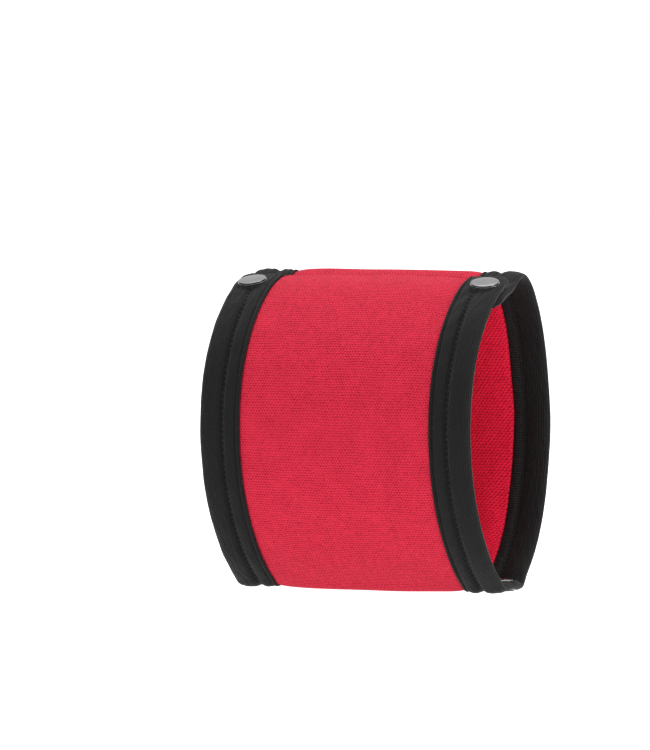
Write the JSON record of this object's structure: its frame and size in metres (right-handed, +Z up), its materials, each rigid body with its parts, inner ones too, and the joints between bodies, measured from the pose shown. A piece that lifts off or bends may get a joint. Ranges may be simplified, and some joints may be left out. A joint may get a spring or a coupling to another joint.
{
  "type": "ankle cuff weight",
  "caption": "Padded wrap-around weight for an ankle: a closed loop of soft weighted strip with taped rims, held by press studs under a flap.",
  "frame": {"origin": "middle of the footprint, on the surface that the cuff stands on", "axes": "+X along the axis of the ankle opening, -Y the front, +Z up"},
  "size_m": [0.1, 0.084, 0.1114],
  "materials": {
    "outer_knit": "red ribbed knit",
    "lining_knit": "deep red diagonal knit",
    "edge_tape": "black stretch tape",
    "iron_filling": "iron shot in a grey pouch",
    "snap_metal": "satin nickel plate"
  },
  "bodies": {
    "bottom": {"bottom_cover": "outer_knit", "bottom_lining": "lining_knit", "bottom_left_binding": "edge_tape", "bottom_right_binding": "edge_tape", "left_lower_cap": "snap_metal", "left_lower_socket": "snap_metal", "right_lower_cap": "snap_metal", "right_lower_socket": "snap_metal"},
    "front_lower": {"front_lower_cover": "outer_knit", "front_lower_lining": "lining_knit", "front_lower_left_binding": "edge_tape", "front_lower_right_binding": "edge_tape", "front_lower_weight_pack": "iron_filling"},
    "front_middle": {"front_middle_cover": "outer_knit", "front_middle_lining": "lining_knit", "front_middle_left_binding": "edge_tape", "front_middle_right_binding": "edge_tape", "front_middle_weight_pack": "iron_filling"},
    "front_upper": {"front_upper_cover": "outer_knit", "front_upper_lining": "lining_knit", "front_upper_left_binding": "edge_tape", "front_upper_right_binding": "edge_tape", "front_upper_weight_pack": "iron_filling"},
    "front_flap": {"front_flap_cover": "outer_knit", "front_flap_lining": "lining_knit", "front_flap_left_binding": "edge_tape", "front_flap_right_binding": "edge_tape", "left_snap_cap": "snap_metal", "left_snap_socket": "snap_metal", "right_snap_cap": "snap_metal", "right_snap_socket": "snap_metal"},
    "back_lower": {"back_lower_cover": "outer_knit", "back_lower_lining": "lining_knit", "back_lower_left_binding": "edge_tape", "back_lower_right_binding": "edge_tape", "back_lower_weight_pack": "iron_filling"},
    "back_middle": {"back_middle_cover": "outer_knit", "back_middle_lining": "lining_knit", "back_middle_left_binding": "edge_tape", "back_middle_right_binding": "edge_tape", "back_middle_weight_pack": "iron_filling"},
    "back_upper": {"back_upper_cover": "outer_knit", "back_upper_lining": "lining_knit", "back_upper_left_binding": "edge_tape", "back_upper_right_binding": "edge_tape", "back_upper_weight_pack": "iron_filling"},
    "back_tab": {"back_tab_cover": "outer_knit", "back_tab_lining": "lining_knit", "back_tab_left_binding": "edge_tape", "back_tab_right_binding": "edge_tape", "left_snap_stud": "snap_metal", "left_snap_post": "snap_metal", "right_snap_stud": "snap_metal", "right_snap_post": "snap_metal"}
  },
  "joints": [
    {"name": "open_cuff", "type": "hinge", "parent": "bottom", "child": "front_lower", "pos_m": [0, -0.00809, 0.00297], "axis": [1, 0, 0], "range_deg": [0, 36]},
    {"name": "front_lower_bend", "type": "hinge", "parent": "front_lower", "child": "front_middle", "pos_m": [0, -0.03319, 0.0301], "axis": [1, 0, 0], "range_deg": [0, 36]},
    {"name": "front_upper_bend", "type": "hinge", "parent": "front_middle", "child": "front_upper", "pos_m": [0, -0.03992, 0.06587], "axis": [1, 0, 0], "range_deg": [0, 36]},
    {"name": "lift_flap", "type": "hinge", "parent": "front_upper", "child": "front_flap", "pos_m": [0, -0.02266, 0.09752], "axis": [1, 0, 0], "range_deg": [0, 50]},
    {"name": "back_bottom_bend", "type": "hinge", "parent": "bottom", "child": "back_lower", "pos_m": [0, 0.01962, 0.00815], "axis": [1, 0, 0], "range_deg": [-36, 0]},
    {"name": "back_lower_bend", "type": "hinge", "parent": "back_lower", "child": "back_middle", "pos_m": [0, 0.03754, 0.03865], "axis": [1, 0, 0], "range_deg": [-36, 0]},
    {"name": "back_upper_bend", "type": "hinge", "parent": "back_middle", "child": "back_upper", "pos_m": [0, 0.03793, 0.0744], "axis": [1, 0, 0], "range_deg": [-36, 0]},
    {"name": "tab_bend", "type": "hinge", "parent": "back_upper", "child": "back_tab", "pos_m": [0, 0.02211, 0.10624], "axis": [1, 0, 0], "range_deg": [-36, 0]}
  ],
  "couplings": [
    {"joint": "front_lower_bend", "follows": "open_cuff", "ratio": 1},
    {"joint": "front_upper_bend", "follows": "open_cuff", "ratio": 1},
    {"joint": "back_bottom_bend", "follows": "open_cuff", "ratio": -1},
    {"joint": "back_lower_bend", "follows": "open_cuff", "ratio": -1},
    {"joint": "back_upper_bend", "follows": "open_cuff", "ratio": -1},
    {"joint": "tab_bend", "follows": "open_cuff", "ratio": -1}
  ]
}
